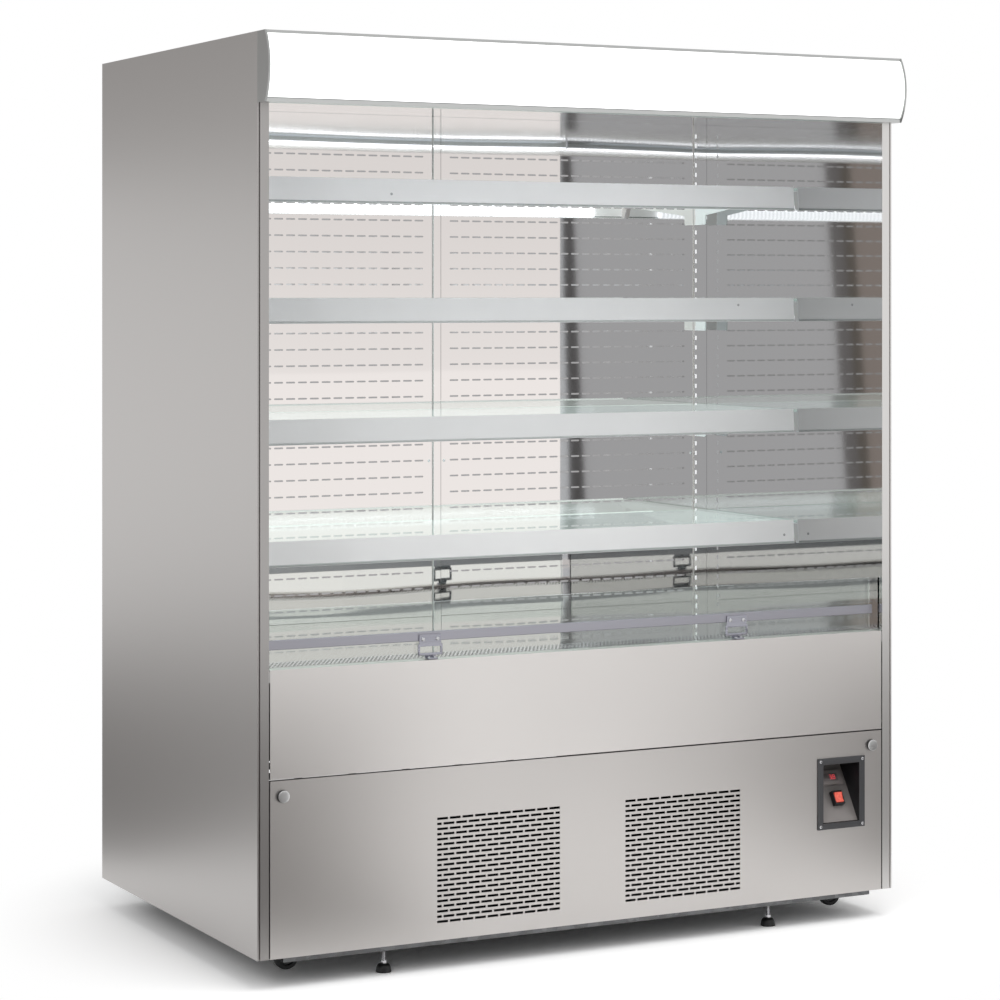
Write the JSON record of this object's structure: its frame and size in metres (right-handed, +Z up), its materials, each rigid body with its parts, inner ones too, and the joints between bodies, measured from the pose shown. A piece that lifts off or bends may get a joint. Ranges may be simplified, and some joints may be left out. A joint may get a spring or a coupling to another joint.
{
  "type": "open multideck display fridge",
  "caption": "Free-standing open-front refrigerated display cabinet with lit canopy, tilting glass shelves, guarded well and a slotted lift-off service panel.",
  "frame": {"origin": "on the floor under the middle of the bounding box", "axes": "+X to the right seen from the front, +Y to the back, +Z up; the open front faces -Y"},
  "size_m": [1.524, 0.973, 1.907],
  "materials": {
    "satin_steel": "satin grain",
    "polished_steel": "polished, near mirror",
    "galvanised_steel": "galvanised sheet",
    "pale_enamel": "semi-gloss",
    "canopy_trim": "satin",
    "rail_aluminium": "anodised satin",
    "clear_glass": "polished",
    "shelf_glass": "polished",
    "lit_diffuser": "lit, opal",
    "lamp_cover": "lit, opal",
    "bright_chrome": "polished",
    "black_plastic": "moulded",
    "castor_rubber": "moulded",
    "bezel_grey": "satin",
    "control_steel": "satin",
    "gauge_grey": "moulded",
    "rocker_red": "lit from inside",
    "coil_aluminium": "finned coil",
    "shell_black": "gloss enamel"
  },
  "bodies": {
    "cabinet": {"side_wall_left": "satin_steel", "side_wall_right": "satin_steel", "roof": "satin_steel", "upper_panel": "satin_steel", "foamed_body": "polished_steel", "upright_left": "polished_steel", "joint_strip": "polished_steel", "upright_right": "polished_steel", "back_panel_left": "polished_steel", "back_panel_right": "polished_steel", "deck_pan": "polished_steel", "return_grille": "polished_steel", "air_outlet": "rail_aluminium", "ceiling_lamp": "lamp_cover", "base_tray": "galvanised_steel", "rear_cover": "galvanised_steel", "canopy_housing": "canopy_trim", "canopy_lens": "lit_diffuser", "guard_glass": "clear_glass", "guard_rail": "rail_aluminium", "guard_clamp_left": "bright_chrome", "guard_clamp_right": "bright_chrome", "condenser": "coil_aluminium", "compressor": "shell_black", "evaporator": "coil_aluminium"},
    "service_panel": {"service_panel": "satin_steel", "control_bezel": "bezel_grey", "control_box": "black_plastic", "control_plate": "control_steel", "thermostat": "gauge_grey", "rocker_housing": "black_plastic"},
    "knob_left": {"knob_left": "bright_chrome"},
    "knob_right": {"knob_right": "bright_chrome"},
    "rocker": {"rocker": "rocker_red"},
    "shelf_1": {"shelf_frame_1": "pale_enamel", "shelf_glass_1": "shelf_glass", "shelf_lamp_1": "lamp_cover"},
    "shelf_2": {"shelf_frame_2": "pale_enamel", "shelf_glass_2": "shelf_glass", "shelf_lamp_2": "lamp_cover"},
    "shelf_3": {"shelf_frame_3": "pale_enamel", "shelf_glass_3": "shelf_glass", "shelf_lamp_3": "lamp_cover"},
    "shelf_4": {"shelf_frame_4": "pale_enamel", "shelf_glass_4": "shelf_glass", "shelf_lamp_4": "lamp_cover"},
    "foot_1": {"foot_1": "black_plastic"},
    "castor_fork_1": {"castor_fork_1": "galvanised_steel"},
    "castor_wheel_1": {"castor_wheel_1": "castor_rubber"},
    "foot_2": {"foot_2": "black_plastic"},
    "castor_fork_2": {"castor_fork_2": "galvanised_steel"},
    "castor_wheel_2": {"castor_wheel_2": "castor_rubber"},
    "foot_3": {"foot_3": "black_plastic"},
    "castor_fork_3": {"castor_fork_3": "galvanised_steel"},
    "castor_wheel_3": {"castor_wheel_3": "castor_rubber"},
    "foot_4": {"foot_4": "black_plastic"},
    "castor_fork_4": {"castor_fork_4": "galvanised_steel"},
    "castor_wheel_4": {"castor_wheel_4": "castor_rubber"},
    "condenser_fan": {"condenser_fan": "black_plastic"},
    "evaporator_fan": {"evaporator_fan": "black_plastic"}
  },
  "joints": [
    {"name": "service_panel_slide", "type": "slide", "parent": "cabinet", "child": "service_panel", "axis": [0, -1, 0], "range_m": [0, 0.25]},
    {"name": "knob_left_turn", "type": "hinge", "parent": "service_panel", "child": "knob_left", "pos_m": [-0.707, -0.4285, 0.385], "axis": [0, 1, 0], "range_deg": [0, 90]},
    {"name": "knob_right_turn", "type": "hinge", "parent": "service_panel", "child": "knob_right", "pos_m": [0.707, -0.4285, 0.385], "axis": [0, -1, 0], "range_deg": [0, 90]},
    {"name": "rocker_rock", "type": "hinge", "parent": "service_panel", "child": "rocker", "pos_m": [0.6348, -0.40554, 0.27044], "axis": [-1, 0, 0], "range_deg": [0, 18]},
    {"name": "shelf_1_tilt", "type": "hinge", "parent": "cabinet", "child": "shelf_1", "pos_m": [0, 0.3152, 1.6267], "axis": [-1, 0, 0], "range_deg": [0, 10]},
    {"name": "shelf_2_tilt", "type": "hinge", "parent": "cabinet", "child": "shelf_2", "pos_m": [0, 0.3152, 1.3682], "axis": [-1, 0, 0], "range_deg": [0, 10]},
    {"name": "shelf_3_tilt", "type": "hinge", "parent": "cabinet", "child": "shelf_3", "pos_m": [0, 0.3152, 1.1097], "axis": [-1, 0, 0], "range_deg": [0, 10]},
    {"name": "shelf_4_tilt", "type": "hinge", "parent": "cabinet", "child": "shelf_4", "pos_m": [0, 0.3152, 0.8512], "axis": [-1, 0, 0], "range_deg": [0, 10]},
    {"name": "foot_1_screw", "type": "slide", "parent": "cabinet", "child": "foot_1", "axis": [0, 0, 1], "range_m": [-0.012, 0.016]},
    {"name": "foot_2_screw", "type": "slide", "parent": "cabinet", "child": "foot_2", "axis": [0, 0, 1], "range_m": [-0.012, 0.016]},
    {"name": "foot_3_screw", "type": "slide", "parent": "cabinet", "child": "foot_3", "axis": [0, 0, 1], "range_m": [-0.012, 0.016]},
    {"name": "foot_4_screw", "type": "slide", "parent": "cabinet", "child": "foot_4", "axis": [0, 0, 1], "range_m": [-0.012, 0.016]},
    {"name": "castor_1_swivel", "type": "hinge", "parent": "cabinet", "child": "castor_fork_1", "pos_m": [-0.646, -0.3325, 0.062], "axis": [0, 0, 1], "continuous": true},
    {"name": "castor_1_roll", "type": "hinge", "parent": "castor_fork_1", "child": "castor_wheel_1", "pos_m": [-0.66, -0.3325, 0.041], "axis": [0, 1, 0], "continuous": true},
    {"name": "castor_2_swivel", "type": "hinge", "parent": "cabinet", "child": "castor_fork_2", "pos_m": [0.646, -0.3325, 0.062], "axis": [0, 0, 1], "continuous": true},
    {"name": "castor_2_roll", "type": "hinge", "parent": "castor_fork_2", "child": "castor_wheel_2", "pos_m": [0.66, -0.3325, 0.041], "axis": [0, 1, 0], "continuous": true},
    {"name": "castor_3_swivel", "type": "hinge", "parent": "cabinet", "child": "castor_fork_3", "pos_m": [-0.646, 0.3905, 0.062], "axis": [0, 0, 1], "continuous": true},
    {"name": "castor_3_roll", "type": "hinge", "parent": "castor_fork_3", "child": "castor_wheel_3", "pos_m": [-0.66, 0.3905, 0.041], "axis": [0, 1, 0], "continuous": true},
    {"name": "castor_4_swivel", "type": "hinge", "parent": "cabinet", "child": "castor_fork_4", "pos_m": [0.646, 0.3905, 0.062], "axis": [0, 0, 1], "continuous": true},
    {"name": "castor_4_roll", "type": "hinge", "parent": "castor_fork_4", "child": "castor_wheel_4", "pos_m": [0.66, 0.3905, 0.041], "axis": [0, 1, 0], "continuous": true},
    {"name": "condenser_fan_spin", "type": "hinge", "parent": "cabinet", "child": "condenser_fan", "pos_m": [-0.222, -0.2625, 0.2173], "axis": [0, -1, 0], "continuous": true},
    {"name": "evaporator_fan_spin", "type": "hinge", "parent": "cabinet", "child": "evaporator_fan", "pos_m": [0, -0.0345, 0.5533], "axis": [0, -1, 0], "continuous": true}
  ]
}
